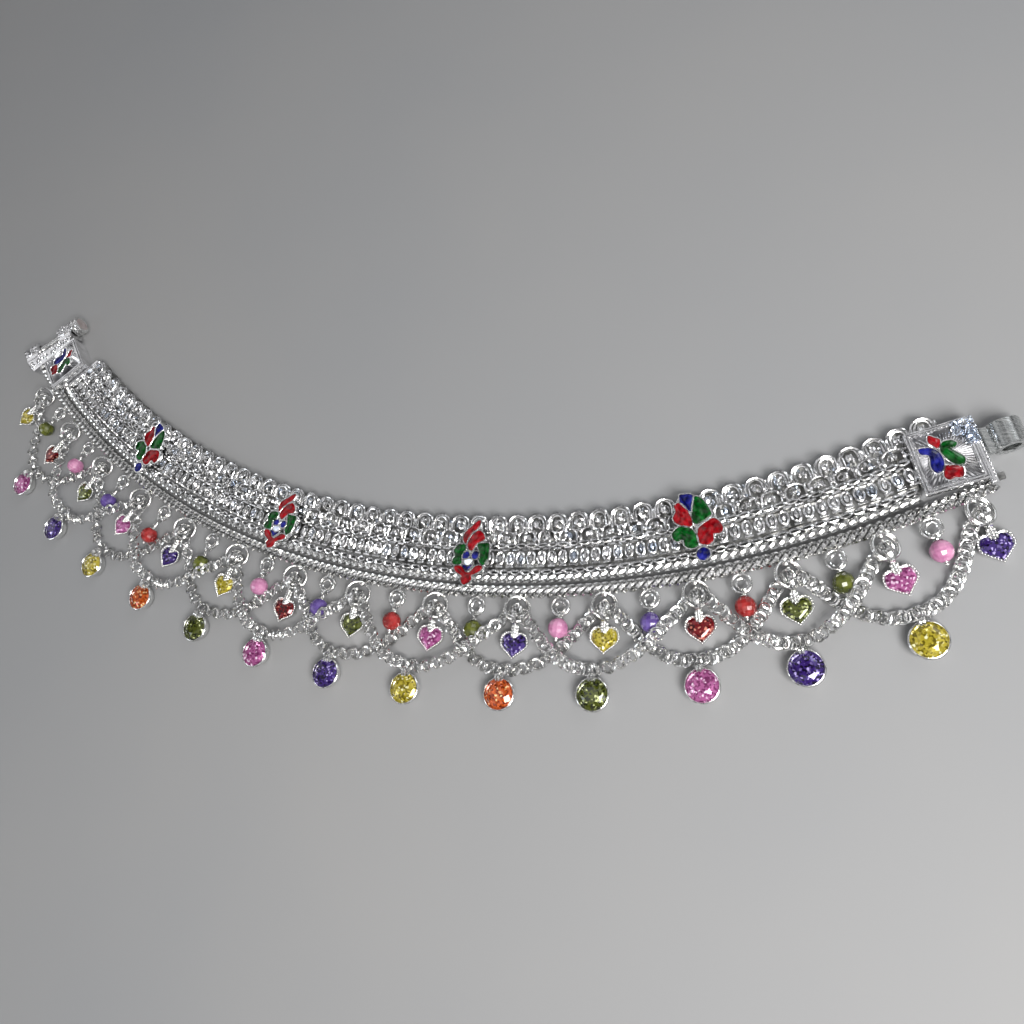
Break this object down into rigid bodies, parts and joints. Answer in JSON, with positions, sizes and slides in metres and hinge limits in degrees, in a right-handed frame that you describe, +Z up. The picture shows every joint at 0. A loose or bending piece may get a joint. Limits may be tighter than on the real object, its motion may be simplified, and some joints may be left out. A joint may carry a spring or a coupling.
{
  "type": "payal anklet",
  "caption": "Payal anklet laid open: woven silver band with enamelled flowers, swags of curb chain, heart, bead and round stone charms, and a screw pin clasp.",
  "frame": {"origin": "on the underside of the woven band, halfway along it", "axes": "+X along the band's middle towards the eye end, -Y towards the fringe of charms, +Z up from the surface it lies on"},
  "size_m": [0.2522, 0.0796, 0.0055],
  "materials": {
    "silver": "bright woven silver",
    "chain": "bright diamond-cut silver chain",
    "clasp": "cast and hatched silver",
    "screw": "polished silver",
    "enamel": "glossy enamel in silver cells",
    "gem_violet": "faceted stone",
    "gem_pink": "faceted stone",
    "gem_olive": "faceted stone",
    "gem_red": "faceted stone",
    "gem_yellow": "faceted stone",
    "gem_orange": "faceted stone"
  },
  "bodies": {
    "root": {"band_weave": "silver", "rope_line": "chain", "edge_chain": "chain", "swag_chain_even": "chain", "swag_chain_odd": "chain", "heart_01": "gem_violet", "heart_02": "gem_pink", "heart_03": "gem_olive", "heart_04": "gem_red", "heart_05": "gem_yellow", "heart_06": "gem_violet", "heart_07": "gem_pink", "heart_08": "gem_olive", "heart_09": "gem_red", "heart_10": "gem_yellow", "heart_11": "gem_violet", "heart_12": "gem_pink", "heart_13": "gem_olive", "heart_14": "gem_red", "heart_15": "gem_yellow", "bead_01": "gem_pink", "bead_02": "gem_olive", "bead_03": "gem_red", "bead_04": "gem_violet", "bead_05": "gem_pink", "bead_06": "gem_olive", "bead_07": "gem_red", "bead_08": "gem_violet", "bead_09": "gem_pink", "bead_10": "gem_olive", "bead_11": "gem_red", "bead_12": "gem_violet", "bead_13": "gem_pink", "bead_14": "gem_olive", "drop_01": "gem_yellow", "drop_02": "gem_violet", "drop_03": "gem_pink", "drop_04": "gem_olive", "drop_05": "gem_orange", "drop_06": "gem_yellow", "drop_07": "gem_violet", "drop_08": "gem_pink", "drop_09": "gem_olive", "drop_10": "gem_orange", "drop_11": "gem_yellow", "drop_12": "gem_violet", "drop_13": "gem_pink", "motif_1": "enamel", "motif_2": "enamel", "motif_3": "enamel", "motif_4": "enamel", "clasp_box_right": "clasp", "clasp_eye": "screw", "clasp_box_left": "clasp", "clasp_knuckles": "clasp"},
    "screw": {"clasp_screw": "screw"}
  },
  "joints": [
    {"name": "clasp_screw", "type": "slide", "parent": "root", "child": "screw", "axis": [0.8007, 0.599, 0], "range_m": [0, 0.014]}
  ]
}
